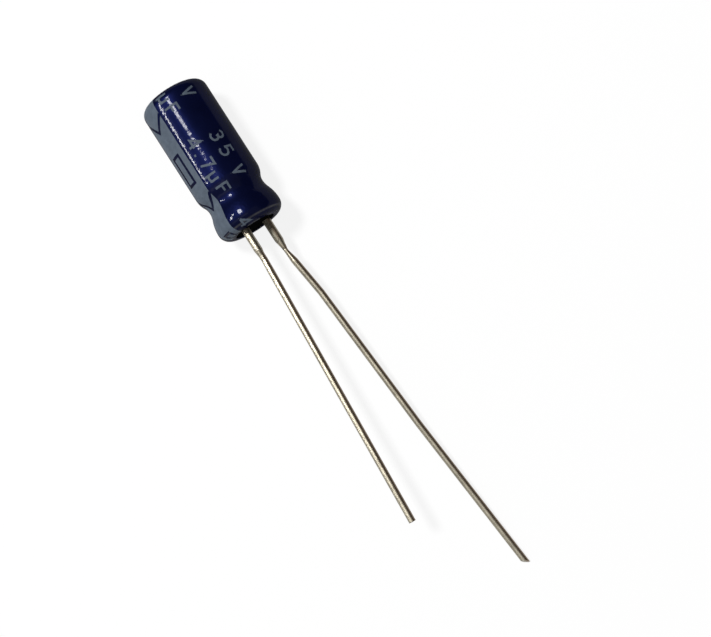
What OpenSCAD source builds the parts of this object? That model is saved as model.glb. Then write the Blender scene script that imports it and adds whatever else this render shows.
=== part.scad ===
// Radial aluminium electrolytic capacitor in a 5 x 11 mm case, lying on a table.
// X runs along the can, from its closed end to its two leads. The origin is the middle
// of the rim that stands on a circuit board. The tip of the longer lead rests on the table.

/* [Can] */
// Outside diameter of the aluminium can
can_d = 4.9; // [4.8:0.05:5.2]
// Length of the can, from its closed end to its curled rim
can_length = 11; // [10.5:0.1:13]
// Thickness of the can's side wall
can_wall = 0.25; // [0.2:0.01:0.3]
// Thickness of the can's closed end
can_end = 0.3; // [0.2:0.05:0.4]
// Outside radius of the corner round the closed end
can_corner = 0.6; // [0.4:0.05:0.8]
// Outside radius of the rim, where it curls in over the bung
rim_curl = 0.7; // [0.6:0.05:0.75]

/* [Groove] */
// Distance from the rim to the bottom of the rolled groove
groove_from_rim = 2.4; // [2.2:0.05:2.6]
// Length over which the wall runs down from its full size to the bottom of the groove
groove_run = 1.25; // [1.1:0.05:1.4]
// Depth of the groove in the can
groove_depth = 0.45; // [0.35:0.01:0.5]
// Radius at the bottom of the groove
groove_round = 0.55; // [0.5:0.05:0.7]

/* [Sleeve] */
// Thickness of the shrunk plastic sleeve
sleeve_t = 0.1; // [0.07:0.01:0.12]
// Air left under the sleeve where it bridges the bottom of the groove
sleeve_gap = 0.12; // [0.05:0.01:0.15]
// How far the sleeve's lip reaches in over the bung, past the can's rim
rim_lip = 0.2; // [0.05:0.05:0.25]
// Width of the sleeve's flat lip on the closed end
end_lip = 0.15; // [0.05:0.05:0.5]

/* [Polarity stripe] */
// Thickness of the printed ink
ink_t = 0.02; // [0.01:0.005:0.03]
// How much of the way round the can the stripe covers, in degrees
stripe_arc = 45; // [35:1:80]
// How far the stripe is turned from the negative lead, in degrees
stripe_turn = 1.5; // [-10:0.5:10]
// Distance from one minus mark or arrow to the next of its kind
mark_pitch = 6.55; // [6:0.05:7]
// Width of the unprinted line round each mark
line_w = 0.2; // [0.08:0.01:0.25]
// Length of the minus mark
minus_length = 2.5; // [2:0.1:3]
// Width of the minus mark
minus_w = 1; // [0.8:0.05:1.2]
// Distance from the closed end to the tip of the first arrow
arrow_from_end = 2.5; // [2:0.05:3]
// How far back each arm of an arrow runs for every millimetre outwards
arrow_slant = 1.15; // [0.8:0.05:1.4]
// Distance from the closed end to the middle of the first minus mark
minus_from_end = 5.4; // [5:0.05:6]

/* [Bung and winding] */
// Length of the rubber bung
bung_length = 3.4; // [3.3:0.05:3.8]
// Air between the taped winding and the can's wall
winding_gap = 0.15; // [0.08:0.01:0.3]
// Free space between the winding and the bung, where the tabs widen
head_room = 0.85; // [0.4:0.05:2]
// Diameter of the hole that the winding spindle leaves
spindle_d = 0.7; // [0.5:0.05:0.8]
// Thickness of the tape round the winding
tape_t = 0.05; // [0.03:0.01:0.08]
// How far the tape stops short of each end of the winding
tape_short = 0.95; // [0.2:0.05:2]

/* [Tabs] */
// Width of the flat paddle that joins each stem to its foil
tab_w = 1.2; // [0.8:0.05:1.4]
// Thickness of the paddle
tab_t = 0.2; // [0.15:0.01:0.25]
// How far the paddle stops short of the winding's far end
tab_short = 1.4; // [0.5:0.1:3]
// Air round each piece that sits inside the winding or against it
fit_gap = 0.02; // [0.01:0.005:0.03]

/* [Leads] */
// Distance between the two stems where they leave the bung
pitch = 2; // [1.9:0.05:2]
// How far the pair of stems sits off the can's axis, towards the positive one
pair_offset = 0.14; // [0:0.01:0.15]
// Diameter of the aluminium stems
stem_d = 0.6; // [0.56:0.01:0.7]
// How far the stems stand out of the bung before they narrow to the weld
stem_reach = 1.75; // [1:0.05:2.2]
// Length of the taper that ends each stem
weld_taper = 0.7; // [0.3:0.05:1]
// Diameter of the neck at the weld
neck_d = 0.32; // [0.28:0.01:0.45]
// Length over which the wire widens from the neck to its full size
neck_length = 1.1; // [0.8:0.1:2]
// Diameter of the lead wire
wire_d = 0.5; // [0.46:0.01:0.54]
// Length of the positive lead's wire
long_lead = 28.1; // [20:0.1:32]
// Length of the negative lead's wire
short_lead = 20.9; // [15:0.1:24]
// Radius of each bend, along the middle of the wire
bend_r = 2; // [1:0.1:4]
// Angle by which the positive lead leaves its stem outwards, in degrees
positive_spread = 9.2; // [5:0.1:12]
// Length of wire from the neck to the second bend
first_run = 2.5; // [1:0.1:6]
// Angle by which the second bend turns the positive lead back, in degrees
positive_return = 4.5; // [0.5:0.1:6]
// Length of wire from the second bend to the third
second_run = 11.5; // [5:0.1:13]
// Angle by which the third bend turns the positive lead out again, in degrees
positive_splay = 1.6; // [0.5:0.1:4]
// Angle by which the negative lead leaves its stem outwards, in degrees
negative_spread = 3.9; // [1:0.1:8]
// Angle between the cut tip of the positive lead and the wire, in degrees
tip_cut = 45; // [30:1:80]

/* [Hidden] */
$fn = 64;
// Straight steps in each arc of the rolled profile
arc_steps = 8;

// Radii, and places along the can, with a for "along"
can_r = can_d / 2;
sleeve_r = can_r + sleeve_t;
inner_corner = max(can_corner - can_wall, 0.1);
winding_d = can_d - 2 * (can_wall + winding_gap + tape_t);
rim_a = -sleeve_t;
closed_a = rim_a - can_length;
floor_a = closed_a + can_end;
crown_a = rim_a - rim_curl;
groove_a = rim_a - groove_from_rim;
plain_a = groove_a - groove_run;
mouth_r = can_r - rim_curl;
lip_r = mouth_r - rim_lip;
disc_r = can_r - can_corner - end_lip;
bung_a = rim_a - bung_length;
weld_a = rim_a + stem_reach + weld_taper;

// The winding stands on the rounded corner inside the closed end
corner_reach = max(0, winding_d / 2 - (can_r - can_wall - inner_corner));
winding_a = floor_a + fit_gap + inner_corner - sqrt(pow(inner_corner, 2) - pow(corner_reach, 2));
winding_top_a = bung_a - head_room;
winding_length = winding_top_a - winding_a;
tab_length = winding_length - tab_short;
tape_w = winding_length - 2 * tape_short;

// Each side of the groove is two arcs that meet at one slope: a shoulder and a valley
function two_radii(run, depth) = (run * run + depth * depth) / (2 * depth);
shoulder_in = two_radii(groove_run, groove_depth) - groove_round;
shoulder_out = two_radii(crown_a - groove_a, groove_depth) - groove_round;

// Places of the two stems, and the roll that lays the positive tip on the table
positive_w = pair_offset + pitch / 2;
negative_w = pitch / 2 - pair_offset;
function arc_length(angle) = bend_r * abs(angle) * PI / 180;
positive_bends = [positive_spread, -positive_return, positive_splay];
positive_runs = [neck_length + first_run, second_run, long_lead - neck_length - first_run
    - second_run - arc_length(positive_spread) - arc_length(positive_return) - arc_length(positive_splay)];
negative_runs = [short_lead - arc_length(negative_spread)];
function drift(bends, runs, i = 0, heading = 0) = i == len(bends) ? 0
    : let (next = heading + bends[i])
        sign(bends[i]) * bend_r * (cos(heading) - cos(next)) + runs[i] * sin(next)
        + drift(bends, runs, i + 1, next);
tip_w = positive_w + drift(positive_bends, positive_runs);
roll = asin((sleeve_r - wire_d / 2) / tip_w);

// Points of an arc as [radius, along]; the first is left out where the arc goes on from another
function arc(middle, r, from, to, first = 1) = [for (i = [first:arc_steps])
    let (t = from + (to - from) * i / arc_steps) middle + r * [cos(t), sin(t)]];
function backwards(points) = [for (i = [len(points) - 1:-1:0]) points[i]];
function without_ends(points) = [for (i = [1:len(points) - 2]) points[i]];

// One side of the groove, from the wall's full size down to its bottom, and back up
function groove_line(grow, depth) =
    let (valley_in = two_radii(groove_run, depth) - shoulder_in,
        valley_out = two_radii(crown_a - groove_a, depth) - shoulder_out,
        slope_in = asin(groove_run / (shoulder_in + valley_in)),
        slope_out = asin((crown_a - groove_a) / (shoulder_out + valley_out)))
    concat(
        arc([can_r - shoulder_in, plain_a], shoulder_in + grow, 0, slope_in, 0),
        arc([can_r - depth + valley_in, groove_a], valley_in - grow, 180 + slope_in, 180),
        arc([can_r - depth + valley_out, groove_a], valley_out - grow, 180, 180 - slope_out),
        arc([can_r - shoulder_out, crown_a], shoulder_out + grow, -slope_out, 0));

// A whole layer of the wall, from the closed end's corner to the curled rim
function wall_line(grow, depth, end_a, corner) = concat(
    arc([can_r + grow - corner, end_a + corner], corner, -90, 0, 0),
    groove_line(grow, depth),
    arc([mouth_r, crown_a], rim_curl + grow, 0, 90));

can_skin = wall_line(0, groove_depth, closed_a, can_corner);
can_lining = wall_line(-can_wall, groove_depth, floor_a, inner_corner);
sleeve_depth = groove_depth - sleeve_gap;
function sleeve_line(grow) = wall_line(grow, sleeve_depth, closed_a - grow, can_corner + grow);

// Turns a profile of [radius, along] round the X axis; the turn starts at the bottom
module turned(start = 0, angle = 360)
    rotate([0, 90, 0]) rotate([0, 0, start]) rotate_extrude(angle = angle) children();

// Lays the plane of the two leads over, so that the positive tip rests on the table
module rolled() rotate([-roll, 0, 0]) children();

// A round rod, or a cone, that starts at the origin and runs along X
module rod(d1, d2, length)
    rotate([0, 90, 0]) cylinder(d1 = d1, d2 = d2, h = length);

module can()
    color("silver") turned()
        polygon(concat([[0, closed_a]], can_skin, backwards(can_lining), [[0, floor_a]]));

module sleeve()
    color("midnightblue") turned()
        polygon(concat(
            [[disc_r, closed_a - sleeve_t]], sleeve_line(sleeve_t), [[lip_r, 0], [lip_r, rim_a]],
            backwards(sleeve_line(0)), [[disc_r, closed_a]]));

// The marks lie flat over the middle of the stripe and are cut straight down through the ink
module marks() {
    half = sleeve_r + ink_t;
    line_run = line_w * sqrt(1 + pow(arrow_slant, 2));
    for (k = [0:ceil(can_length / mark_pitch)]) {
        tip = closed_a + arrow_from_end + k * mark_pitch;
        translate([tip, 0]) for (side = [0, 1]) mirror([0, side])
            polygon([[0, 0], [-half * arrow_slant, half], [-half * arrow_slant - line_run, half],
                [-line_run, 0]]);
        translate([closed_a + minus_from_end + k * mark_pitch, 0]) difference() {
            square([minus_length, minus_w], center = true);
            square([minus_length - 2 * line_w, minus_w - 2 * line_w], center = true);
        }
    }
}

// The ink stops just short of the flat of each lip
module polarity_stripe()
    color("slategray") rolled() difference() {
        turned(270 + stripe_turn - stripe_arc / 2, stripe_arc)
            polygon(concat(without_ends(sleeve_line(sleeve_t + ink_t)),
                backwards(without_ends(sleeve_line(sleeve_t)))));
        rotate([90 + stripe_turn, 0, 0]) linear_extrude(sleeve_r + 1) marks();
    }

module rubber_bung()
    color("dimgray") difference() {
        turned() intersection() {
            polygon(concat([[0, floor_a]], can_lining, [[mouth_r, rim_a], [0, rim_a]]));
            translate([0, bung_a]) square([can_r, bung_length]);
        }
        rolled() for (w = [positive_w, -negative_w])
            translate([bung_a - 1, w, 0]) rod(stem_d, stem_d, bung_length + 2);
    }

module winding()
    color("tan") translate([winding_a, 0, 0]) difference() {
        rod(winding_d, winding_d, winding_length);
        translate([-1, 0, 0]) rod(spindle_d, spindle_d, winding_length + 2);
        rolled() for (w = [positive_w, -negative_w])
            translate([winding_length - tab_length - fit_gap, w - tab_t / 2 - fit_gap, -tab_w / 2 - fit_gap])
                cube([tab_length + 1, tab_t + 2 * fit_gap, tab_w + 2 * fit_gap]);
    }

module winding_tape()
    color("khaki") translate([winding_a + tape_short, 0, 0]) difference() {
        rod(winding_d + 2 * tape_t, winding_d + 2 * tape_t, tape_w);
        translate([-1, 0, 0]) rod(winding_d, winding_d, tape_w + 2);
    }

// A round stem through the bung, pressed flat into a paddle at the winding's end
module tab() {
    translate([bung_a - head_room / 8, 0, 0]) rod(stem_d, stem_d, head_room / 8 + bung_length + stem_reach);
    translate([rim_a + stem_reach, 0, 0]) rod(stem_d, neck_d, weld_taper);
    intersection() {
        translate([winding_top_a, 0, 0]) rod(tab_w, stem_d, head_room);
        translate([winding_top_a, 0, -tab_w]) linear_extrude(2 * tab_w)
            polygon([[0, -tab_t / 2], [head_room, -(stem_d + tab_t) / 2],
                [head_room, (stem_d + tab_t) / 2], [0, tab_t / 2]]);
    }
    translate([winding_top_a - tab_length, -tab_t / 2, -tab_w / 2]) cube([tab_length, tab_t, tab_w]);
}

module positive_tab()
    color("lightgray") rolled() translate([0, positive_w, 0]) tab();

module negative_tab()
    color("lightgray") rolled() translate([0, -negative_w, 0]) tab();

// A bend in the plane of the leads, from the origin; a positive angle turns it to +Y
module bent(angle, d) {
    mirror([0, angle < 0 ? 1 : 0, 0]) translate([0, bend_r, 0]) rotate([0, 0, -90])
        rotate_extrude(angle = abs(angle)) translate([bend_r, 0]) circle(d = d);
}

// Carries what follows to the end of a bend
module after_bend(angle) {
    r = sign(angle) * bend_r;
    translate([r * sin(angle), r * (1 - cos(angle)), 0]) rotate([0, 0, angle]) children();
}

// A length of wire whose end is snipped at a slant, longest on its +Y side
module snipped(length, cut) difference() {
    rod(wire_d, wire_d, length);
    if (cut < 90) translate([length, wire_d / 2, 0]) rotate([0, 0, cut - 90])
        translate([0, -4 * wire_d, -wire_d]) cube([4 * wire_d, 5 * wire_d, 2 * wire_d]);
}

// The wire's runs, one after another, each behind its bend; the first widens from the weld's neck
module wire(bends, runs, cut, i = 0) {
    widening = i == 0 ? neck_length : 0;
    bent(bends[i], i == 0 ? neck_d : wire_d);
    after_bend(bends[i]) {
        if (i == 0) rod(neck_d, wire_d, neck_length);
        translate([widening, 0, 0]) snipped(runs[i] - widening, i + 1 < len(bends) ? 90 : cut);
        if (i + 1 < len(bends)) translate([runs[i], 0, 0]) wire(bends, runs, cut, i + 1);
    }
}

module positive_lead()
    color("gainsboro") rolled() translate([weld_a, positive_w, 0])
        wire(positive_bends, positive_runs, tip_cut);

module negative_lead()
    color("gainsboro") rolled() mirror([0, 1, 0]) translate([weld_a, negative_w, 0])
        wire([negative_spread], negative_runs, 90);

sleeve();
polarity_stripe();
can();
rubber_bung();
winding();
winding_tape();
positive_tab();
negative_tab();
positive_lead();
negative_lead();
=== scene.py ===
import math

import bpy
import numpy as np
from bpy.props import FloatProperty, FloatVectorProperty, PointerProperty
from mathutils import Matrix, Vector


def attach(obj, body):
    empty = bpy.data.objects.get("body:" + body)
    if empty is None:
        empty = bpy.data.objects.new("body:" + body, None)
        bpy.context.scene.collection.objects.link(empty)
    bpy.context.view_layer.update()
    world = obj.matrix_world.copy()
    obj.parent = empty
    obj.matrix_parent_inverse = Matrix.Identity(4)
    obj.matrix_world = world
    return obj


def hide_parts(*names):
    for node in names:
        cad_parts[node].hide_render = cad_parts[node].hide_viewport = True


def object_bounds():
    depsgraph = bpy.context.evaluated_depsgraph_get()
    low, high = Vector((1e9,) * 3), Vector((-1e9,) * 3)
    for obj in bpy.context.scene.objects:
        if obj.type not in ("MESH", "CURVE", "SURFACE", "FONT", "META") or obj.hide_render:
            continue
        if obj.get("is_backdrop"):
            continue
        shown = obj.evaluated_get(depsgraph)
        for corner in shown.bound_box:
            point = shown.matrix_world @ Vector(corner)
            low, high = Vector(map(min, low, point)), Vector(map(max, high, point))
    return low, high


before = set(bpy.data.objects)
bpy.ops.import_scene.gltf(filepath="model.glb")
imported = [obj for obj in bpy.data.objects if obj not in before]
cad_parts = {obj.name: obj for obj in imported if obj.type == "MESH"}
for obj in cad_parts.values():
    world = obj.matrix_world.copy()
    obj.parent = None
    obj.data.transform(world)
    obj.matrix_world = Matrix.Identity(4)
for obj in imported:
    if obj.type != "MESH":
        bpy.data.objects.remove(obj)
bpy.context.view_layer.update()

bl_info = {
    "name": "Radial capacitor maker",
    "version": (1, 0, 0),
    "blender": (4, 5, 0),
    "location": "View3D > Sidebar > Capacitor",
    "description": "Makes a small round can capacitor with its sleeve, print, bung and leads",
    "category": "Add Mesh",
}

MM = 0.001
# The sleeve's skin is drawn this far inside its CAD face, which leaves room for the ink on it
SKIN = 0.009 * MM
# Heights of the ink and of the marks above the skin
INK_LIFT = 0.003 * MM
MARK_LIFT = 0.006 * MM
# Distances between points along the sleeve's outer and inner faces and along a stroke
WALL_STEP = 0.06 * MM
INNER_STEP = 0.3 * MM
STROKE_STEP = 0.05 * MM
# Numbers of points round the sleeve, across the stripe, round a lead, along a stem and a wire
SLEEVE_SIDES, STRIPE_COLUMNS, LEAD_SIDES, STEM_ROWS, WIRE_ROWS = 320, 61, 40, 90, 421
# Rings at a wire's end that its slanted cut draws back
CUT_RINGS = 7
# Gap inside the sleeve, overlap of a stem with its wire, and length of a wire's thin start
INNER_GAP = 0.01 * MM
STEM_OVERLAP = 0.01 * MM
THIN_RUN = 0.3 * MM
# Points of the skin's section between which the stripe runs, counted from its two ends
STRIPE_ENDS = (3, -5)
# The print's repeats along the sleeve, counted from the first one
REPEATS = range(-1, 3)
# Least cosine of half a corner's turn that a ribbon's width is still lengthened by
SHARPEST = 0.35
# Allowance for rounding when lengths are compared
ROUNDING = 1e-9
# How far past an end a minus mark and a figure may start
MARK_REACH = 0.4 * MM
FIGURE_REACH = 0.25 * MM
# A print's figures and the places of their middles along X, in millimetres
VOLTS = (("3", -6.44), ("5", -5.2), ("V", -3.56))
FARADS = (("4", -6.76), (".", -5.98), ("7", -5.05), ("u", -4.05), ("F", -3.03))
# Width of the box that a figure is drawn in, for a height of one
FIGURE_BOX = 0.56
# Sockets of a colour mix: its amount, its two colours and its result
MIX_AMOUNT, MIX_FIRST, MIX_SECOND, MIX_RESULT = 0, 6, 7, 2


def length(name, text, mm):
    """A size in millimetres as a Blender length with its name and description."""
    return FloatProperty(name=name, description=text, default=mm * MM, unit="LENGTH",
                         subtype="DISTANCE", precision=6)


def angle(name, text, degrees):
    """An angle given in degrees as a Blender angle."""
    return FloatProperty(name=name, description=text, default=math.radians(degrees),
                         subtype="ANGLE")


def share(name, text, value, top=1.0):
    """A plain number from 0 to its top."""
    return FloatProperty(name=name, description=text, default=value, min=0.0, max=top,
                         subtype="FACTOR")


def colour(name, text, value):
    """A colour, written as linear red, green and blue."""
    return FloatVectorProperty(name=name, description=text, default=value, min=0.0, max=1.0,
                               size=3, subtype="COLOR")


class CapacitorSizes(bpy.types.PropertyGroup):
    """Sizes of the sleeved can, the same as the CAD model's"""
    can_r: length("Can radius", "Outside radius of the aluminium can", 2.45)
    closed_x: length("Closed end", "Where the can's closed end stands along X", -11.1)
    corner: length("Corner", "Outside radius of the can's closed corner", 0.6)
    curl: length("Curl", "Outside radius of the can's curled rim", 0.7)
    rim_x: length("Rim", "Where the can's rim stands along X", -0.1)
    groove_x: length("Groove", "Where the bottom of the groove stands along X", -2.5)
    groove_run: length("Groove run", "Length from the full wall down to the groove's bottom", 1.25)
    groove_depth: length("Groove depth", "Depth of the groove in the can", 0.45)
    groove_round: length("Groove radius", "Radius at the bottom of the can's groove", 0.55)
    sleeve_t: length("Sleeve", "Thickness of the sleeve", 0.1)
    sleeve_gap: length("Bridge", "Air under the sleeve at the bottom of the groove", 0.12)
    rim_lip: length("Rim lip", "How far the sleeve reaches in past the can's rim", 0.2)
    end_lip: length("End lip", "Width of the sleeve's flat lip on the closed end", 0.15)
    wrinkle: length("Wrinkle", "Depth of the small wrinkles in the shrunk sleeve", 0.006)


class LeadSizes(bpy.types.PropertyGroup):
    """Sizes of the stems and the two wires, which follow the CAD model's"""
    pitch: length("Pitch", "Distance between the two stems", 2.0)
    offset: length("Offset", "How far the pair sits off the axis", 0.14)
    stem_d: length("Stem", "Diameter of the aluminium stems", 0.6)
    stem_reach: length("Stem reach", "Length of stem outside the bung", 1.75)
    taper: length("Taper", "Length of the taper to the weld", 0.7)
    neck_d: length("Neck", "Diameter of the positive wire at the weld", 0.32)
    crimp_d: length("Crimp", "Diameter of the negative wire at the weld", 0.47)
    neck_run: length("Neck run", "Length over which the wire widens", 1.1)
    wire_d: length("Wire", "Diameter of the wire", 0.5)
    bend_r: length("Bend", "Radius of each bend", 2.0)
    long_lead: length("Long lead", "Length of the positive wire", 28.1)
    short_lead: length("Short lead", "Length of the negative wire", 20.9)
    first_run: length("First run", "Positive wire from the neck to its second bend", 2.5)
    second_run: length("Second run", "Positive wire from its second bend to its third", 11.5)
    spread: angle("Spread", "First bend of the positive wire", 9.2)
    back: angle("Return", "Second bend of the positive wire, inwards", 4.5)
    splay: angle("Splay", "Third bend of the positive wire", 1.6)
    lean: angle("Lean", "The negative wire's one bend", 3.9)
    cut: angle("Cut", "Angle of the snipped end of the positive wire", 45.0)


class PrintSizes(bpy.types.PropertyGroup):
    """Sizes and places of the printed stripe, marks and figures"""
    stripe_arc: angle("Stripe", "How much of the way round the stripe covers", 45.0)
    stripe_at: angle("Stripe place", "Middle of the stripe, from the top towards -Y", 57.15)
    pitch: length("Repeat", "Distance from one print to the next along the sleeve", 6.55)
    line: length("Line", "Width of the unprinted lines", 0.22)
    arrow_x: length("Arrow", "Where the first arrow's tip stands along X", -8.74)
    arrow_slant: share("Arrow slant", "How far back an arm runs for each millimetre out", 1.06, 2.0)
    minus_x: length("Minus", "Where the first minus mark's middle stands along X", -5.7)
    minus_l: length("Minus length", "Length of the minus mark", 2.5)
    minus_w: length("Minus width", "Width of the minus mark", 1.0)
    figure_h: length("Figure height", "Height of the figures between their strokes' middles",
                     0.96)
    figure_w: share("Figure width", "Stretch of the figures across, as a share of the height",
                    1.15, 2.0)
    stroke: length("Stroke", "Width of the figures' strokes", 0.16)
    volts_at: angle("Volts row", "Row of the voltage, from the top towards -Y", -26.5)
    farads_at: angle("Farads row", "Row of the capacitance, from the top towards -Y", 12.0)


class Finishes(bpy.types.PropertyGroup):
    """Colours of the capacitor's materials"""
    film: colour("Sleeve film", "Near-black navy of the sleeve", (0.0026, 0.0039, 0.0215))
    ink: colour("Stripe ink", "Pale grey-blue of the stripe", (0.076, 0.097, 0.127))
    figures: colour("Figure ink", "Grey of the figures", (0.071, 0.090, 0.117))
    rubber: colour("Rubber", "Black of the bung", (0.0020, 0.0020, 0.0019))
    tin: colour("Tin", "Tin plate of the wires", (0.35, 0.32, 0.25))
    # Brown laid as painted shade over the side of the wires and stems that faces towards +Y; on the
    # tabs it falls only in random patches
    tarnish_and_shade: colour("Tarnish and shade", "Brown stain on the wires", (0.23, 0.175, 0.125))
    aluminium: colour("Aluminium", "Bare can and stems", (0.62, 0.62, 0.61))


class StageSettings(bpy.types.PropertyGroup):
    """Where the camera stands, and the colour of the floor"""
    azimuth: angle("Azimuth", "Direction of the camera round the object", 57.3)
    elevation: angle("Elevation", "Height of the camera above the horizon", 84.5)
    distance: length("Distance", "Distance of the camera from the origin's plane", 95.0)
    across: length("Across", "The origin's place across the view", -7.069)
    upward: length("Upward", "The origin's place up the view", 6.485)
    lens: FloatProperty(name="Lens", description="Focal length in millimetres", default=68.25)
    floor: colour("Floor", "Pale floor", (0.92, 0.92, 0.92))


SIZES, LEADS, PRINT = "capacitor_sizes", "capacitor_leads", "capacitor_print"
FINISH, STAGE = "capacitor_finishes", "capacitor_stage"


def settings(name):
    """One of the property groups of the scene."""
    return getattr(bpy.context.scene, name)


# ---------------------------------------------------------------- mesh code

def put_mesh(name, points, faces, replaces=(), shades=None):
    """Makes a piece from an array of points and a list of face arrays, at the origin, riding on
    the one body, and hides the CAD nodes that it stands for. shades holds named
    numbers for each point, which its material reads."""
    mesh = bpy.data.meshes.new(name)
    mesh.from_pydata(np.asarray(points, float).reshape(-1, 3).tolist(), [],
                     [f for block in faces for f in np.asarray(block).tolist()])
    mesh.update()
    for key, values in (shades or {}).items():
        mesh.attributes.new(key, "FLOAT", "POINT").data.foreach_set("value", np.ravel(values))
    mesh.polygons.foreach_set("use_smooth", np.ones(len(mesh.polygons), bool))
    piece = bpy.data.objects.new(name, mesh)
    bpy.context.scene.collection.objects.link(piece)
    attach(piece, "root")
    if replaces:
        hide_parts(*replaces)
    return piece


def quads(rows, columns, around=False, closed=False, start=0):
    """Faces of a grid of rows by columns of points: each face joins a point to its neighbours in
    the next column and the next row. around joins the last column to the first, closed the last
    row to the first."""
    i = np.arange(rows if closed else rows - 1)[:, None]
    j = np.arange(columns if around else columns - 1)[None, :]
    down, right = (i + 1) % rows, (j + 1) % columns
    return (np.stack([i * columns + j, i * columns + right, down * columns + right,
                      down * columns + j], -1) + start).reshape(-1, 4)


def fan(ring, middle):
    """Triangles from a ring of point numbers to one middle point."""
    return np.stack([ring, np.roll(ring, -1), np.full(len(ring), middle)], -1)


def arc(middle, radius, start, stop, steps):
    """Points of an arc: the middle plus the radius times the cosine and sine of angles in degrees
    that run evenly from start to stop."""
    t = np.radians(np.linspace(start, stop, steps + 1))[:, None]
    return np.asarray(middle) + radius * np.hstack([np.cos(t), np.sin(t)])


def two_radii(run, depth):
    """Sum of the radii of two arcs that meet at one slope and cross a run and a depth."""
    return (run * run + depth * depth) / (2 * depth)


def wall_line(size, grow, steps=24):
    """The sleeve's section as points of radius and place along X: flat end lip, rounded corner,
    straight wall, two arcs down into the groove and two up out of it, rounded curl, flat rim lip.
    grow is the distance outside the can's own skin."""
    r, crown, corner = size.can_r, size.rim_x - size.curl, size.corner + grow
    depth, out_run = size.groove_depth - size.sleeve_gap, crown - size.groove_x
    start = size.groove_x - size.groove_run
    shoulder_in = two_radii(size.groove_run, size.groove_depth) - size.groove_round
    shoulder_out = two_radii(out_run, size.groove_depth) - size.groove_round
    valley_in = two_radii(size.groove_run, depth) - shoulder_in
    valley_out = two_radii(out_run, depth) - shoulder_out
    slope_in = math.degrees(math.asin(size.groove_run / (shoulder_in + valley_in)))
    slope_out = math.degrees(math.asin(out_run / (shoulder_out + valley_out)))
    bottom = r - depth
    return np.vstack([
        [[r - size.corner - size.end_lip, size.closed_x - grow]],
        arc([r + grow - corner, size.closed_x - grow + corner], corner, -90, 0, steps),
        arc([r - shoulder_in, start], shoulder_in + grow, 0, slope_in, steps),
        arc([bottom + valley_in, size.groove_x], valley_in - grow, 180 + slope_in, 180, steps)[1:],
        arc([bottom + valley_out, size.groove_x], valley_out - grow, 180, 180 - slope_out,
            steps)[1:],
        arc([r - shoulder_out, crown], shoulder_out + grow, -slope_out, 0, steps)[1:],
        arc([r - size.curl, crown], size.curl + grow, 0, 90, steps)[1:],
        [[r - size.curl - size.rim_lip, size.rim_x + grow]]])


def unit(vectors):
    """Each row divided by its length."""
    return vectors / np.linalg.norm(vectors, axis=1)[:, None]


def full_turn(count):
    """Even angles once round, starting at 0."""
    return np.linspace(0, 2 * math.pi, count + 1)[:-1]


def walk(line):
    """The distance walked along a line at each of its points: the running sum of the lengths of
    its steps."""
    return np.concatenate([[0], np.cumsum(np.linalg.norm(np.diff(line, axis=0), axis=1))])


def resample(line, step):
    """A line of points at even distances of about one step: each coordinate is interpolated over
    the distance walked along the line."""
    walked = walk(line)
    at = np.linspace(0, walked[-1], max(2, int(math.ceil(walked[-1] / step))) + 1)
    return np.stack([np.interp(at, walked, line[:, k]) for k in range(line.shape[1])], 1)


def ripples(u, v, seed, waves, u_range, v_range):
    """Even noise of about one unit: a sum of cosine waves whose whole numbers round the can and
    wave numbers along it are drawn from two ranges, with seeded phases."""
    rng = np.random.default_rng(seed)
    total = 0
    for _ in range(waves):
        m = rng.integers(u_range[0], u_range[1] + 1)
        k = rng.uniform(*v_range) * rng.choice([-1, 1])
        total = total + np.cos(m * u + k * v + rng.uniform(0, 2 * math.pi))
    return total * math.sqrt(2 / waves)


def bump(x, middle, width):
    """A smooth hump of height one: the exponential of minus the squared distance in widths."""
    return np.exp(-((x - middle) / width) ** 2)


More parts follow.
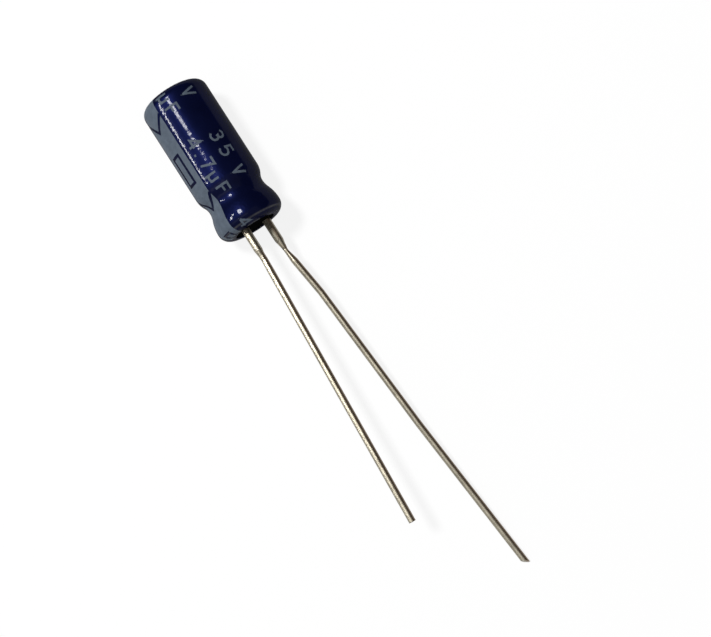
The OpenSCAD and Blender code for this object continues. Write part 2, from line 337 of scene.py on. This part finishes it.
class Skin:
    """The sleeve's outer face as a function of the turn round the can and the place along it.
    A place is the X coordinate on the wall, and the walked distance past either rounded end."""
    # Seed, number of waves, whole numbers round the can and wave numbers along it per millimetre
    FINE = (11, 40, (20, 75), (4, 26))
    BROAD = (5, 16, (1, 6), (0.2, 1.4))
    PLEATS = (23, 24, (24, 70), (0.5, 4))

    def __init__(self, size):
        line = resample(wall_line(size, size.sleeve_t - SKIN), WALL_STEP)
        self.size = size
        self.r, self.x = line[:, 0], line[:, 1]
        along = unit(np.gradient(line, axis=0))
        self.nr, self.nx = along[:, 1], -along[:, 0]
        walked = walk(line)
        first = int(np.argmax(self.r >= self.r.max() - ROUNDING))
        last = int(np.argmin(np.abs(self.x - (size.rim_x - size.curl)) + (self.r < size.can_r)))
        place = self.x.copy()
        place[:first] = self.x[first] - (walked[first] - walked[:first])
        place[last:] = self.x[last] + (walked[last:] - walked[last])
        self.place = place

    def dent(self, turn, place):
        """How far the film is sunk: fine wrinkles over the groove's slopes and the curl, pleats at
        both lips, and a faint unevenness everywhere. Each share times its pattern is taken from
        about the highest that the sum can be, so the film is never raised."""
        size = self.size
        mm, groove, closed = place / MM, size.groove_x / MM, size.closed_x / MM
        fine, broad, pleats = (ripples(turn, mm, *waves)
                               for waves in (self.FINE, self.BROAD, self.PLEATS))
        slopes = 0.9 * bump(mm, groove - 0.9, 0.7) + bump(mm, groove + 0.9, 0.6)
        lips = 1.2 * bump(mm, 0.75, 0.65) + 0.8 * bump(mm, closed - 0.35, 0.35)
        fine_share, broad_share, pleat_share = 0.55 * (0.06 + slopes), 0.35, 0.9 * lips
        depth = fine_share * fine + pleat_share * pleats + broad_share * broad
        highest = 1.6 * fine_share + 2.2 * pleat_share + 2 * broad_share
        return size.wrinkle * np.maximum(highest - depth, 0) * 0.5

    def at(self, turn, place, lift=0.0):
        """Points over the sleeve: the section's point at that place, moved along its normal by the
        lift less the dent, and turned round X. A turn of 0 is the top, and it grows towards -Y."""
        turn, place = np.broadcast_arrays(np.asarray(turn, float), np.asarray(place, float))
        r, x, nr, nx = (np.interp(place, self.place, v) for v in (self.r, self.x, self.nr, self.nx))
        out = lift - self.dent(turn, place)
        r, x = r + nr * out, x + nx * out
        return np.stack([x, -r * np.sin(turn), r * np.cos(turn)], -1)


# ---------------------------------------------------------------- material code

def node(tree, kind, **values):
    """A new node of a tree, with some of its settings."""
    made = tree.nodes.new(kind)
    for key, value in values.items():
        setattr(made, key, value)
    return made


def material(name):
    """A new node material: the material, its tree, its Principled shader and its Object
    coordinates."""
    made = bpy.data.materials.new(name)
    made.use_nodes = True
    tree = made.node_tree
    spot = node(tree, "ShaderNodeTexCoord").outputs["Object"]
    return made, tree, tree.nodes["Principled BSDF"], spot


def maths(tree, kind, *values):
    """The result of a math node on plain numbers and other nodes' outputs."""
    made = node(tree, "ShaderNodeMath", operation=kind)
    for socket, value in zip(made.inputs, values):
        if isinstance(value, (int, float)):
            socket.default_value = value
        else:
            tree.links.new(value, socket)
    return made.outputs[0]


def smooth(tree, source, start, stop):
    """Goes smoothly from 0 to 1 as the source goes from start to stop."""
    made = node(tree, "ShaderNodeMapRange", interpolation_type="SMOOTHSTEP")
    made.inputs["From Min"].default_value = start
    made.inputs["From Max"].default_value = stop
    tree.links.new(source, made.inputs["Value"])
    return made.outputs["Result"]


def stretched(tree, source, scale):
    """A coordinate source multiplied by a scale of its own along each axis."""
    made = node(tree, "ShaderNodeMapping")
    made.inputs["Scale"].default_value = scale
    tree.links.new(source, made.inputs["Vector"])
    return made.outputs["Vector"]


def noise(tree, source, scale, detail=2.0, rough=0.5):
    """A noise pattern on a coordinate source, at a scale in waves per metre."""
    made = node(tree, "ShaderNodeTexNoise")
    made.inputs["Scale"].default_value = scale
    made.inputs["Detail"].default_value = detail
    made.inputs["Roughness"].default_value = rough
    tree.links.new(source, made.inputs["Vector"])
    return made.outputs["Fac"]


def ramp(tree, source, first, last, low=0.3, high=0.7):
    """Blends evenly from one colour to another as the source goes from low to high."""
    made = node(tree, "ShaderNodeValToRGB")
    for point, place, shade in zip(made.color_ramp.elements, (low, high), (first, last)):
        point.position, point.color = place, (*shade, 1)
    tree.links.new(source, made.inputs["Fac"])
    return made.outputs["Color"]


def blend(tree, amount, first, second):
    """Mixes a plain second colour into a first one by an amount."""
    made = node(tree, "ShaderNodeMix", data_type="RGBA")
    made.inputs[MIX_SECOND].default_value = (*second, 1)
    tree.links.new(amount, made.inputs[MIX_AMOUNT])
    tree.links.new(first, made.inputs[MIX_FIRST])
    return made.outputs[MIX_RESULT]


def relief(tree, shader, source, depth, strength=1.0):
    """Raises the surface by a pattern of a given depth in metres, and gives its normal."""
    made = node(tree, "ShaderNodeBump")
    made.inputs["Strength"].default_value = strength
    made.inputs["Distance"].default_value = depth
    tree.links.new(source, made.inputs["Height"])
    tree.links.new(made.outputs["Normal"], shader.inputs["Normal"])
    return made.outputs["Normal"]


def scaled(value, factor):
    """A colour times a number, kept within 0 and 1."""
    return tuple(min(1.0, max(0.0, c * factor)) for c in value)


def shrunk_film(finish):
    """The sleeve's film: a clear gloss over a rough blue one, an orange peel that breaks the clear
    gloss into dots, and a patchy grey band round the rim, a painted reflection of the light on the
    curl."""
    rim_x, rim_edge, rim_core, rim_sheen_grey = -0.3 * MM, 0.09 * MM, 0.02 * MM, (0.09, 0.09, 0.09)
    peel_waves, peel_depth = (3300, 2300, 2300), 0.0075 * MM
    made, tree, shader, spot = material("shrunk film")
    shader.inputs["Roughness"].default_value = 0.38
    shader.inputs["Metallic"].default_value = 0.38
    shader.inputs["Specular IOR Level"].default_value = 0.0
    shader.inputs["Specular Tint"].default_value = (0.25, 0.25, 0.25, 1)
    shader.inputs["Coat Weight"].default_value = 0.11
    shader.inputs["Coat Roughness"].default_value = 0.07
    shader.inputs["Coat IOR"].default_value = 1.5
    navy = ramp(tree, noise(tree, spot, 500), finish.film, scaled(finish.film, 1.35), 0.35)
    split = node(tree, "ShaderNodeSeparateXYZ")
    tree.links.new(spot, split.inputs[0])
    # Painted reflection: a patchy grey band near the rim stands in for the light that the curl
    # reflects
    apart = maths(tree, "ABSOLUTE", maths(tree, "SUBTRACT", split.outputs["X"], rim_x))
    painted_rim_sheen = maths(tree, "MULTIPLY", smooth(tree, apart, rim_edge, rim_core),
                   noise(tree, spot, 1700, 4, 0.7))
    tree.links.new(blend(tree, painted_rim_sheen, navy, rim_sheen_grey), shader.inputs["Base Color"])
    peel = relief(tree, shader, noise(tree, stretched(tree, spot, peel_waves), 1), peel_depth)
    tree.links.new(peel, shader.inputs["Coat Normal"])
    return made


def printed_ink(name, shade):
    """Flat ink: duller than the film, mottled, with a fine grain."""
    made, tree, shader, spot = material(name)
    shader.inputs["Roughness"].default_value = 0.6
    shader.inputs["Specular IOR Level"].default_value = 0.12
    mottled = ramp(tree, noise(tree, spot, 2600, 4, 0.6), scaled(shade, 0.86), scaled(shade, 1.14))
    tree.links.new(mottled, shader.inputs["Base Color"])
    relief(tree, shader, noise(tree, spot, 9000, 3), 0.002 * MM, 0.4)
    return made


def black_rubber(finish):
    """The bung's matt black rubber with a moulded grain."""
    made, tree, shader, spot = material("black rubber")
    shader.inputs["Roughness"].default_value = 0.8
    shader.inputs["Specular IOR Level"].default_value = 0.0
    mottled = ramp(tree, noise(tree, spot, 4000, 4), finish.rubber, scaled(finish.rubber, 1.8))
    tree.links.new(mottled, shader.inputs["Base Color"])
    relief(tree, shader, noise(tree, spot, 12000, 3), 0.01 * MM, 0.5)
    return made


def drawn_metal(name, bright, stain_and_shade, rough, along=300.0, across=9000.0):
    """Drawn metal: fine lines along X that a die leaves, uneven patches, and a second colour in
    ragged patches along the drawn lines. On a lead, whose "side" number tells from -1 to 1 how far
    it faces towards +Y, that colour is also a painted shade over the side towards +Y, standing in
    for the dark reflection there."""
    stain_and_shade_start, stain_and_shade_full, stain_and_shade_ragged = 0.1, 0.65, 0.5
    made, tree, shader, spot = material(name)
    drawn = noise(tree, stretched(tree, spot, (along, across, across)), 1, 3, 0.6)
    plain_metal = ramp(tree, noise(tree, spot, 1400, 3, 0.6), scaled(bright, 0.72), bright, 0.35, 0.65)
    side = node(tree, "ShaderNodeAttribute", attribute_name="side").outputs["Fac"]
    # Painted shade on a lead: the side towards +Y goes to the second colour, its edge ragged along
    # the drawn lines; elsewhere it falls only in random patches
    stain_and_shade_mask = maths(tree, "MULTIPLY_ADD", drawn, stain_and_shade_ragged, side)
    stained_and_shaded = blend(tree, smooth(tree, stain_and_shade_mask, stain_and_shade_start, stain_and_shade_full), plain_metal, stain_and_shade)
    tree.links.new(stained_and_shaded, shader.inputs["Base Color"])
    shader.inputs["Metallic"].default_value = 1.0
    spread = node(tree, "ShaderNodeMapRange")
    spread.inputs["To Min"].default_value = rough * 0.75
    spread.inputs["To Max"].default_value = rough * 1.3
    tree.links.new(drawn, spread.inputs["Value"])
    tree.links.new(spread.outputs["Result"], shader.inputs["Roughness"])
    relief(tree, shader, drawn, 0.004 * MM, 0.5)
    return made


def soft_goods(name, light, dark, rough, scale):
    """Plain finish of a hidden piece: two shades in a fine grain."""
    made, tree, shader, spot = material(name)
    shader.inputs["Roughness"].default_value = rough
    tree.links.new(ramp(tree, noise(tree, spot, scale, 4), dark, light),
                   shader.inputs["Base Color"])
    return made


def finish_with(piece, made):
    """Gives a piece one material."""
    piece.data.materials.clear()
    piece.data.materials.append(made)


def seen_by(tree, *kinds):
    """1 for a ray of any of these kinds, and 0 for every other."""
    path = node(tree, "ShaderNodeLightPath").outputs
    seen = path[kinds[0]]
    for kind in kinds[1:]:
        seen = maths(tree, "MAXIMUM", seen, path[kind])
    return seen


# ---------------------------------------------------------------- pieces

class MakeSleeve(bpy.types.Operator):
    """Make the shrunk sleeve with its wrinkles"""
    bl_idname = "capacitor.make_sleeve"
    bl_label = "Sleeve"

    def execute(self, context):
        size = settings(SIZES)
        skin = Skin(size)
        turn = full_turn(SLEEVE_SIDES)
        outside = skin.at(turn[None, :], skin.place[:, None])
        inner = resample(wall_line(size, INNER_GAP), INNER_STEP)[::-1]
        inside = np.stack([np.broadcast_to(inner[:, 1:], (len(inner), len(turn))),
                           -inner[:, :1] * np.sin(turn), inner[:, :1] * np.cos(turn)], -1)
        rows = np.concatenate([outside, inside])
        piece = put_mesh("sleeve_skin", rows, [quads(len(rows), len(turn), True, True)[:, ::-1]],
                         ["sleeve"])
        finish_with(piece, shrunk_film(settings(FINISH)))
        return {"FINISHED"}


class MakeStripe(bpy.types.Operator):
    """Make the printed polarity stripe and the unprinted lines of its marks"""
    bl_idname = "capacitor.make_stripe"
    bl_label = "Polarity stripe"

    def execute(self, context):
        size, text, finish = settings(SIZES), settings(PRINT), settings(FINISH)
        skin = Skin(size)
        low, high = (skin.place[k] for k in STRIPE_ENDS)
        place = skin.place[(skin.place > low) & (skin.place < high)]
        half = text.stripe_arc / 2
        across = np.linspace(-1, 1, STRIPE_COLUMNS)[None, :]
        # Only the two edges waver, by a small share of half the width
        waver, edge_start = 0.005, 0.99
        edge = 1 + waver * ripples(np.sign(across) * 2, place[:, None] / MM, 3, 12, (1, 2), (1, 14))
        turn = text.stripe_at + half * across * np.where(np.abs(across) > edge_start, edge, 1)
        points = skin.at(turn, place[:, None], INK_LIFT)
        piece = put_mesh("stripe_ink", points, [quads(len(place), STRIPE_COLUMNS)[:, ::-1]],
                         ["polarity_stripe"])
        finish_with(piece, printed_ink("stripe ink", finish.ink))
        step, wide, slant = half * (size.can_r + size.sleeve_t), text.line, text.arrow_slant
        lines = []
        for k in REPEATS:
            tip = text.arrow_x + k * text.pitch - wide * math.hypot(1, slant) / 2
            if size.closed_x < tip < 0:
                lines.append([[tip - slant * step, step], [tip, 0], [tip - slant * step, -step]])
            low, high = (text.minus_x + k * text.pitch + s * (text.minus_l - wide) / 2
                         for s in (-1, 1))
            w = (text.minus_w - wide) / 2
            if size.closed_x - MARK_REACH < low < MARK_REACH:
                lines.append([[low, -w], [low, w], [high, w], [high, -w], [low, -w]])
        put_strokes("stripe_marks", skin, lines, wide, text.stripe_at, MARK_LIFT,
                    bpy.data.materials["shrunk film"])
        return {"FINISHED"}


def ribbon(line, wide):
    """Two rails of a flat ribbon: each point of an evenly sampled line moved to either side by half
    the width, along the direction across the line, lengthened at a corner so that it stays wide."""
    step = unit(np.diff(line, axis=0))
    if np.allclose(line[0], line[-1]):
        before, after = np.vstack([step[-1:], step]), np.vstack([step, step[:1]])
    else:
        before, after = np.vstack([step[:1], step]), np.vstack([step, step[-1:]])
    along = unit(before + after)
    stretch = 1 / np.maximum(SHARPEST, np.sum(along * after, axis=1))[:, None]
    across = np.stack([-along[:, 1], along[:, 0]], 1) * stretch * wide / 2
    return np.stack([line + across, line, line - across], 1)


def put_strokes(name, skin, lines, wide, turn, lift, made):
    """Lays ribbons on the sleeve: a stroke's first coordinate is its place along X, its second the
    distance round from a middle turn, measured on the wall's own radius, up being away from -Y."""
    points, faces, count = [], [], 0
    radius = skin.size.can_r + skin.size.sleeve_t
    for line in lines:
        corners = np.asarray(line, float)
        parts = [resample(corners[i:i + 2], STROKE_STEP)[(1 if i else 0):]
                 for i in range(len(corners) - 1)]
        rails = ribbon(np.vstack(parts), wide)
        points.append(skin.at(turn - rails[..., 1] / radius, rails[..., 0], lift).reshape(-1, 3))
        faces.append(quads(len(rails), 3, start=count))
        count += len(rails) * 3
    finish_with(put_mesh(name, np.vstack(points), faces), made)


def figure(sign):
    """Strokes of one figure or unit in a box FIGURE_BOX wide and 1 high, as lists of points."""
    return {
        "3": [np.vstack([arc([0.27, 0.745], 0.25, 150, -80, 14),
                         arc([0.27, 0.28], 0.28, 85, -150, 16)])],
        "5": [np.vstack([[[0.5, 1.0], [0.1, 1.0], [0.05, 0.56]],
                         arc([0.26, 0.31], 0.3, 125, -145, 18)])],
        "4": [[[0.42, 0.0], [0.42, 1.0], [0.0, 0.32], [0.56, 0.32]]],
        "7": [[[0.0, 1.0], [0.54, 1.0], [0.2, 0.0]]],
        ".": [[[0.28, 0.0], [0.28, 0.16]]],
        "V": [[[0.03, 1.0], [0.28, 0.0], [0.53, 1.0]]],
        "F": [[[0.06, 0.0], [0.06, 1.0], [0.52, 1.0]], [[0.06, 0.53], [0.44, 0.53]]],
        "u": [[[0.06, -0.25], [0.06, 0.7]],
              np.vstack([arc([0.27, 0.21], 0.21, 180, 360, 12), [[0.48, 0.7]]]),
              [[0.48, 0.3], [0.48, 0.04], [0.54, 0.02]]],
    }[sign]


class MakeFigures(bpy.types.Operator):
    """Make the printed rating, which repeats along the sleeve"""
    bl_idname = "capacitor.make_figures"
    bl_label = "Figures"

    def execute(self, context):
        size, text, finish = settings(SIZES), settings(PRINT), settings(FINISH)
        skin = Skin(size)
        made = printed_ink("figure ink", finish.figures)
        box = np.array([text.figure_w, 1]) * text.figure_h
        low, high = size.closed_x - FIGURE_REACH, size.rim_x
        for name, row, turn in (("figures_volts", VOLTS, text.volts_at),
                                ("figures_farads", FARADS, text.farads_at)):
            lines = []
            for k in REPEATS:
                for sign, x in row:
                    middle = x * MM + k * text.pitch
                    if low < middle < high:
                        lines += [(np.asarray(stroke) - [FIGURE_BOX / 2, 0.5]) * box + [middle, 0]
                                  for stroke in figure(sign)]
            put_strokes(name, skin, lines, text.stroke, turn, INK_LIFT, made)
        return {"FINISHED"}


class MakeBung(bpy.types.Operator):
    """Finish the rubber bung, the can and the pieces inside it"""
    bl_idname = "capacitor.make_bung"
    bl_label = "Bung and inside"

    def execute(self, context):
        finish = settings(FINISH)
        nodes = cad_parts
        finish_with(nodes["rubber_bung"], black_rubber(finish))
        finish_with(nodes["can"], drawn_metal("can aluminium", finish.aluminium,
                                              scaled(finish.aluminium, 0.8), 0.3, 3000, 3000))
        finish_with(nodes["winding"], soft_goods("soaked paper", (0.45, 0.38, 0.25),
                                                 (0.3, 0.24, 0.15), 0.8, 3000))
        finish_with(nodes["winding_tape"], soft_goods("tape film", (0.5, 0.42, 0.16),
                                                      (0.42, 0.34, 0.12), 0.3, 900))
        return {"FINISHED"}


def row_place(lead, positive):
    """How far from the axis a lead's stem stands, in the plane of the leads."""
    return lead.offset + lead.pitch / 2 * (1 if positive else -1)


def stem_end(size, lead):
    """Where along X the stems end and the wires start."""
    return size.rim_x + lead.stem_reach + lead.taper


def wire_path(size, lead, positive):
    """Middle line of a wire in the plane of the leads, and the length walked at each point: the
    heading turns evenly through each bend's arc and stays the same along each run, and the place is
    the sum of the cosines and sines of the heading over small steps."""
    bends = [lead.spread, -lead.back, lead.splay] if positive else [-lead.lean]
    total = lead.long_lead if positive else lead.short_lead
    arcs = [lead.bend_r * abs(b) for b in bends]
    runs = [lead.neck_run + lead.first_run, lead.second_run] if positive else []
    runs.append(total - sum(runs) - sum(arcs))
    knots, headings = [0.0], [0.0]
    for bend, bow, run in zip(bends, arcs, runs):
        knots += [knots[-1] + bow, knots[-1] + bow + run]
        headings += [headings[-1] + bend] * 2
    walked = np.linspace(0, total, WIRE_ROWS)
    heading = np.interp((walked[1:] + walked[:-1]) / 2, knots, headings)
    steps = np.stack([np.cos(heading), np.sin(heading)], 1) * np.diff(walked)[:, None]
    start = [stem_end(size, lead), row_place(lead, positive)]
    return np.vstack([start, start + np.cumsum(steps, 0)]), walked


def lead_plane(size, lead):
    """Unit vectors of the plane of the leads: along X, across towards the positive lead, and the
    plane's normal. The plane is rolled so that the positive tip lies as low as the sleeve."""
    path, _ = wire_path(size, lead, True)
    roll = math.asin((size.can_r + size.sleeve_t - lead.wire_d / 2) / path[-1, 1])
    return (np.array([1.0, 0, 0]), np.array([0, math.cos(roll), -math.sin(roll)]),
            np.array([0, math.sin(roll), math.cos(roll)]))


def stem_line(lead, positive):
    """Places along a stem in millimetres, its radius there, and how far in millimetres it lies off
    the wire's line: the positive one is flattened to a thin neck, the negative one crimped."""
    stem, neck, crimp = lead.stem_d / 2, lead.neck_d / 2, lead.crimp_d / 2
    knots = [(-0.4, stem, -0.03), (1.2, stem, -0.03), (1.6, stem * 0.97, -0.03),
             (1.8, stem * 0.84, -0.01), (2.1, neck * 1.3, 0.01), (2.44, neck, 0.0)]
    if not positive:
        knots = [(-0.4, stem * 0.88, 0.0), (0.6, stem * 0.88, 0.0), (1.1, stem * 0.9, 0.0),
                 (1.5, stem * 0.94, -0.03), (1.8, stem * 0.87, -0.02), (2.1, crimp, 0.0),
                 (2.44, crimp, 0.0)]
    return np.array(knots).T


def sweep(path, radius, plane):
    """Rings of points along a path: each ring's point is the path's point plus the radius times the
    cosine of its angle across the path and the sine of it along the plane's normal. Also gives
    how far each point faces towards +Y."""
    along, across, normal = plane
    step = unit(np.gradient(path, axis=0))
    turn = full_turn(LEAD_SIDES)[:, None]
    middle = path[:, :1] * along + path[:, 1:] * across
    out = -step[:, 1:] * along + step[:, :1] * across
    facing = out[:, None] * np.cos(turn) + normal * np.sin(turn)
    return middle[:, None] + facing * radius[:, None, None], facing[..., 1]


def snip(rings, lead):
    """Draws a wire's last rings back along the wire to a slanted cut: each point by its distance
    from the cut's far edge over the cut's tangent, and less for each ring further in."""
    back = (1 - np.cos(full_turn(LEAD_SIDES))) * lead.wire_d / 2 / math.tan(lead.cut)
    direction = unit(rings[-1] - rings[-2])
    for n in range(CUT_RINGS):
        rings[-1 - n] -= direction * (back * (CUT_RINGS - n) / CUT_RINGS)[:, None]


def put_rod(name, rings, side, made, replaces=()):
    """A closed rod from rings of points, with a middle point at each end."""
    rows, sides = rings.shape[:2]
    count = rows * sides
    points = np.vstack([rings.reshape(-1, 3), rings[0].mean(0), rings[-1].mean(0)])
    faces = [quads(rows, sides, True), fan(np.arange(sides)[::-1], count),
             fan(np.arange(count - sides, count), count + 1)]
    piece = put_mesh(name, points, faces, replaces, {"side": [*side.ravel(), 0, 0]})
    finish_with(piece, made)


class MakeLeads(bpy.types.Operator):
    """Make the two stems and the two wires"""
    bl_idname = "capacitor.make_leads"
    bl_label = "Leads"

    def execute(self, context):
        size, lead, finish = settings(SIZES), settings(LEADS), settings(FINISH)
        plane = lead_plane(size, lead)
        tin = drawn_metal("tinned wire", finish.tin, finish.tarnish_and_shade, 0.4)
        soft = drawn_metal("tab aluminium", scaled(finish.tin, 0.95), finish.tarnish_and_shade, 0.36)
        # The positive stem's copy is rougher, and its colour is a painted shade: 0.55 of the tin
        # where the negative stem has 0.95
        dull_shaded = drawn_metal("dulled and shaded aluminium", scaled(finish.tin, 0.55), finish.tarnish_and_shade, 0.6)
        for name, positive in (("positive", True), ("negative", False)):
            places, radii, shifts = stem_line(lead, positive)
            x = np.linspace(places[0] * MM, stem_end(size, lead) + STEM_OVERLAP, STEM_ROWS)
            w = row_place(lead, positive) + np.interp(x / MM, places, shifts) * MM
            rings, side = sweep(np.stack([x, w], 1), np.interp(x / MM, places, radii), plane)
            put_rod(name + "_stem", rings, side, dull_shaded if positive else soft)
            path, walked = wire_path(size, lead, positive)
            thin = (lead.neck_d if positive else lead.crimp_d) / 2
            radius = np.interp(walked, [0, THIN_RUN, lead.neck_run], [thin, thin, lead.wire_d / 2])
            rings, side = sweep(path, radius, plane)
            if positive:
                snip(rings, lead)
            put_rod(name + "_wire", rings, side, tin, [name + "_lead"])
        for tab in ("positive_tab", "negative_tab"):
            finish_with(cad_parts[tab], soft)
        return {"FINISHED"}


# ---------------------------------------------------------------- stage

def panel(name, left, back, wide, deep, radiance, spin=0, glossy=True, diffuse=True):
    """A soft lamp: a rectangle that faces the can from a direction left of the zenith (towards -Y)
    and back of it (towards -X). Its place and its two widths are angles in degrees, and its power
    is its radiance times pi times its area. It may be hidden from gloss or from matt surfaces."""
    aim, away = Vector((-6 * MM, 0, 0)), 0.6
    l, b = math.radians(left), math.radians(back)
    z = Vector((-math.sin(b), -math.sin(l) * math.cos(b), math.cos(l) * math.cos(b)))
    lamp = bpy.data.lights.new(name, "AREA")
    lamp.shape = "RECTANGLE"
    lamp.size, lamp.size_y = (2 * away * math.tan(math.radians(v) / 2) for v in (deep, wide))
    lamp.energy = radiance * math.pi * lamp.size * lamp.size_y
    put = bpy.data.objects.new(name, lamp)
    bpy.context.scene.collection.objects.link(put)
    x = (Vector((-1, 0, 0)) + z * z.x).normalized()
    turned = Matrix((x, z.cross(x), z)).transposed() @ Matrix.Rotation(math.radians(spin), 3, "Z")
    put.matrix_world = Matrix.Translation(aim + z * away) @ turned.to_4x4()
    put.visible_glossy, put.visible_diffuse = glossy, diffuse


def make_floor(shade):
    """A pale floor as low as the capacitor's lowest point. The camera, gloss and glass see it
    mostly as plain white, and it keeps the capacitor's shadow."""
    reach, plain_share = 1.5, 0.86
    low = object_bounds()[0][2]
    floor = bpy.data.meshes.new("floor")
    floor.from_pydata([(-reach, -reach, low), (reach, -reach, low), (reach, reach, low),
                       (-reach, reach, low)], [], [(0, 1, 2, 3)])
    put = bpy.data.objects.new("floor", floor)
    bpy.context.scene.collection.objects.link(put)
    put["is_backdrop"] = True
    made, tree, shader, _ = material("pale floor")
    shader.inputs["Base Color"].default_value = (*shade, 1)
    shader.inputs["Roughness"].default_value = 1.0
    shader.inputs["Specular IOR Level"].default_value = 0.0
    seen = seen_by(tree, "Is Camera Ray", "Is Glossy Ray", "Is Transmission Ray")
    mix = node(tree, "ShaderNodeMixShader")
    tree.links.new(maths(tree, "MULTIPLY", seen, plain_share), mix.inputs["Fac"])
    tree.links.new(shader.outputs[0], mix.inputs[1])
    tree.links.new(node(tree, "ShaderNodeEmission").outputs[0], mix.inputs[2])
    tree.links.new(mix.outputs[0], tree.nodes["Material Output"].inputs["Surface"])
    floor.materials.append(made)


def make_backdrop():
    """The world: white to the camera and to glass. To every other ray it is a white band just
    above the horizon and a dim sheet on one side, in a nearly black room."""
    band_top, sheet_light, room_light = 0.13, 0.4, 0.01
    world = bpy.data.worlds.new("studio")
    bpy.context.scene.world = world
    world.use_nodes = True
    tree = world.node_tree
    split = node(tree, "ShaderNodeSeparateXYZ")
    tree.links.new(node(tree, "ShaderNodeTexCoord").outputs["Generated"], split.inputs[0])
    x, y, z = (split.outputs[k] for k in "XYZ")
    sheet = maths(tree, "MULTIPLY", smooth(tree, x, -0.16, -0.04), smooth(tree, y, 0.75, 0.5))
    sky = maths(tree, "MAXIMUM", smooth(tree, z, band_top, 0.0),
                maths(tree, "MULTIPLY", sheet, sheet_light))
    seen = seen_by(tree, "Is Camera Ray", "Is Transmission Ray")
    sky = maths(tree, "MAXIMUM", sky, maths(tree, "MAXIMUM", seen, room_light))
    tree.links.new(sky, tree.nodes["Background"].inputs["Color"])


def make_camera(stage):
    """The camera: it looks at the capacitor from an azimuth and an elevation, moved sideways and
    up so that the origin stands at its place in the view."""
    a, e = stage.azimuth, stage.elevation
    back = Vector((math.sin(a) * math.cos(e), -math.cos(a) * math.cos(e), math.sin(e)))
    right = Vector((math.cos(a), math.sin(a), 0))
    up = back.cross(right)
    camera = bpy.data.cameras.new("camera")
    camera.lens, camera.sensor_width = stage.lens, 36
    camera.clip_start, camera.clip_end = 0.005, 10
    put = bpy.data.objects.new("camera", camera)
    bpy.context.scene.collection.objects.link(put)
    spot = back * stage.distance - right * stage.across - up * stage.upward
    put.matrix_world = Matrix.Translation(spot) @ Matrix((right, up, back)).transposed().to_4x4()
    bpy.context.scene.camera = put


class MakeStage(bpy.types.Operator):
    """Make the pale floor, the backdrop, the lamps and the camera"""
    bl_idname = "capacitor.make_stage"
    bl_label = "Stage"

    def execute(self, context):
        stage = settings(STAGE)
        make_floor(stage.floor)
        make_backdrop()
        panel("window", 17.4, 19.5, 9, 9, 125)
        panel("strip", 51.8, 17.4, 1.7, 19, 190, spin=-61, diffuse=False)
        panel("far sheet", 30, -15, 60, 14, 1.5, diffuse=False)
        panel("side light", 62, 10, 40, 60, 0.4, glossy=False)
        make_camera(stage)
        context.scene.view_settings.view_transform = "Standard"
        return {"FINISHED"}


class CapacitorPanel(bpy.types.Panel):
    """Lists the pieces"""
    bl_idname = "VIEW3D_PT_capacitor"
    bl_label = "Capacitor"
    bl_space_type = "VIEW_3D"
    bl_region_type = "UI"
    bl_category = "Capacitor"

    def draw(self, context):
        for operator in OPERATORS:
            self.layout.operator(operator.bl_idname)


GROUPS = ((CapacitorSizes, SIZES), (LeadSizes, LEADS), (PrintSizes, PRINT), (Finishes, FINISH),
          (StageSettings, STAGE))
OPERATORS = (MakeSleeve, MakeStripe, MakeFigures, MakeBung, MakeLeads, MakeStage)


def register():
    """Registers the property groups, the operators and the panel."""
    for group, name in GROUPS:
        bpy.utils.register_class(group)
        setattr(bpy.types.Scene, name, PointerProperty(type=group))
    for kind in (*OPERATORS, CapacitorPanel):
        bpy.utils.register_class(kind)


def unregister():
    """Takes away what register adds."""
    for kind in reversed((*OPERATORS, CapacitorPanel)):
        bpy.utils.unregister_class(kind)
    for group, name in reversed(GROUPS):
        delattr(bpy.types.Scene, name)
        bpy.utils.unregister_class(group)


def main():
    """Registers the add-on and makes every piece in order."""
    register()
    for operator in OPERATORS:
        area, call = operator.bl_idname.split(".")
        getattr(getattr(bpy.ops, area), call)()


if __name__ == "__main__":
    main()
